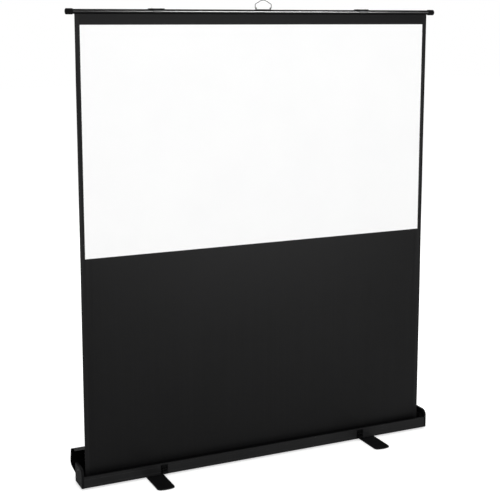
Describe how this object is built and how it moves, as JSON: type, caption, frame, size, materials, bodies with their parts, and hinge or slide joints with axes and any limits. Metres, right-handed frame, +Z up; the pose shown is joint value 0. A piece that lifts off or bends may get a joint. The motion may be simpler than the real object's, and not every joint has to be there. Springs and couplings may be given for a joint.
{
  "type": "portable floor projection screen",
  "caption": "Floor-standing pull-up projection screen: white field with black border and drop, rising on folding arms from a long housing with a hinged lid, swivel feet and a pull ring",
  "frame": {"origin": "on the floor, under the middle of the part's overall box, which is the middle of the housing", "axes": "+X along the housing to the viewer's right when facing the picture, +Y behind the screen, +Z up"},
  "size_m": [1.896, 0.42, 2.2269],
  "materials": {
    "black_housing": "black powder-coated extrusion, semi-gloss",
    "black_bar": "black gloss-coated tube",
    "black_plastic": "black moulded plastic, fine texture",
    "black_foot": "black powder-coated steel strip",
    "black_steel": "black coated pressed steel",
    "satin_arm": "black anodised flat bar",
    "zinc_steel": "zinc-plated steel",
    "chrome_wire": "polished chrome-plated wire",
    "pad_rubber": "black rubber",
    "spring_steel": "oiled spring steel",
    "white_fabric": "matt white coated projection fabric",
    "black_fabric": "matt black coated projection fabric",
    "roller_tube": "plain aluminium tube"
  },
  "bodies": {
    "base": {"base_tray": "black_housing", "left_end_cap": "black_plastic", "right_end_cap": "black_plastic", "end_cap_screws": "black_steel", "foot_pivot_bolts": "zinc_steel", "foot_lock_nuts": "zinc_steel", "left_roller_bracket": "zinc_steel", "right_roller_bracket": "zinc_steel", "spring_mandrel": "zinc_steel", "roller_spring": "spring_steel", "arm_brackets": "black_steel", "arm_bracket_screws": "zinc_steel", "base_pivot_pins": "zinc_steel", "latch_base_plates": "black_steel", "latch_lever_pins": "zinc_steel", "picture_field": "white_fabric", "dark_border": "black_fabric", "dark_drop": "black_fabric"},
    "lid": {"lid_shell": "black_housing", "latch_keepers": "black_steel"},
    "roller": {"roller_tube": "roller_tube", "fabric_wraps": "black_fabric", "roller_plugs": "black_plastic"},
    "left_lower_arm": {"left_lower_arm": "satin_arm", "left_elbow_pin": "zinc_steel"},
    "left_upper_arm": {"left_upper_arm": "satin_arm"},
    "right_lower_arm": {"right_lower_arm": "satin_arm", "right_elbow_pin": "zinc_steel"},
    "right_upper_arm": {"right_upper_arm": "satin_arm"},
    "top_bar": {"top_bar": "black_bar", "fabric_hem_rod": "zinc_steel", "bar_end_caps": "black_plastic", "arm_clips": "black_steel", "clip_screws": "zinc_steel", "ring_saddle": "black_steel", "top_pivot_pins": "zinc_steel"},
    "pull_ring": {"pull_ring": "chrome_wire"},
    "left_foot": {"left_foot": "black_foot", "left_foot_pads": "pad_rubber"},
    "right_foot": {"right_foot": "black_foot", "right_foot_pads": "pad_rubber"},
    "left_latch_lever": {"left_latch_lever": "black_steel"},
    "right_latch_lever": {"right_latch_lever": "black_steel"},
    "left_latch_loop": {"left_latch_loop": "black_steel"},
    "right_latch_loop": {"right_latch_loop": "black_steel"}
  },
  "joints": [
    {"name": "screen_fold", "type": "hinge", "parent": "base", "child": "left_lower_arm", "pos_m": [-0.53, 0.0098, 0.03], "axis": [0, 1, 0], "range_deg": [0, 53.55], "deforming": ["picture_field", "dark_border", "dark_drop"]},
    {"name": "left_elbow", "type": "hinge", "parent": "left_lower_arm", "child": "left_upper_arm", "pos_m": [0.2187, 0.0188, 1.0805], "axis": [0, 1, 0], "range_deg": [-107.11, 0]},
    {"name": "bar_level", "type": "hinge", "parent": "left_upper_arm", "child": "top_bar", "pos_m": [-0.53, 0.0022, 2.131], "axis": [0, 1, 0], "range_deg": [0, 53.56]},
    {"name": "right_arm_fold", "type": "hinge", "parent": "base", "child": "right_lower_arm", "pos_m": [0.53, 0.0308, 0.03], "axis": [0, 1, 0], "range_deg": [-53.56, 0]},
    {"name": "right_elbow", "type": "hinge", "parent": "right_lower_arm", "child": "right_upper_arm", "pos_m": [-0.2187, 0.0398, 1.0805], "axis": [0, 1, 0], "range_deg": [0, 107.11]},
    {"name": "roller_spin", "type": "hinge", "parent": "base", "child": "roller", "pos_m": [0, -0.02465, 0.036], "axis": [1, 0, 0], "range_deg": [-6443.1, 0]},
    {"name": "lid_hinge", "type": "hinge", "parent": "base", "child": "lid", "pos_m": [0, 0.0542, 0.042], "axis": [1, 0, 0], "range_deg": [0, 9]},
    {"name": "pull_ring_hinge", "type": "hinge", "parent": "top_bar", "child": "pull_ring", "pos_m": [0, -0.0093, 2.1876], "axis": [1, 0, 0], "range_deg": [-90, 90]},
    {"name": "left_foot_swivel", "type": "hinge", "parent": "base", "child": "left_foot", "pos_m": [-0.58, 0, 0.00475], "axis": [0, 0, 1], "range_deg": [0, 90]},
    {"name": "right_foot_swivel", "type": "hinge", "parent": "base", "child": "right_foot", "pos_m": [0.58, 0, 0.00475], "axis": [0, 0, 1], "range_deg": [-90, 0]},
    {"name": "left_latch_pull", "type": "hinge", "parent": "base", "child": "left_latch_lever", "pos_m": [-0.535, -0.057, 0.036], "axis": [-1, 0, 0], "range_deg": [0, 150]},
    {"name": "right_latch_pull", "type": "hinge", "parent": "base", "child": "right_latch_lever", "pos_m": [0.535, -0.057, 0.036], "axis": [-1, 0, 0], "range_deg": [0, 150]},
    {"name": "left_loop_swing", "type": "hinge", "parent": "left_latch_lever", "child": "left_latch_loop", "pos_m": [-0.535, -0.057, 0.027], "axis": [-1, 0, 0], "range_deg": [-150, 0]},
    {"name": "right_loop_swing", "type": "hinge", "parent": "right_latch_lever", "child": "right_latch_loop", "pos_m": [0.535, -0.057, 0.027], "axis": [-1, 0, 0], "range_deg": [-150, 0]}
  ],
  "couplings": [
    {"joint": "left_elbow", "follows": "screen_fold", "ratio": -2},
    {"joint": "bar_level", "follows": "screen_fold", "ratio": 1},
    {"joint": "right_arm_fold", "follows": "screen_fold", "ratio": -1},
    {"joint": "right_elbow", "follows": "screen_fold", "ratio": 2},
    {"joint": "roller_spin", "follows": "screen_fold", "ratio": -120.3},
    {"joint": "left_loop_swing", "follows": "left_latch_pull", "ratio": -1},
    {"joint": "right_loop_swing", "follows": "right_latch_pull", "ratio": -1}
  ]
}
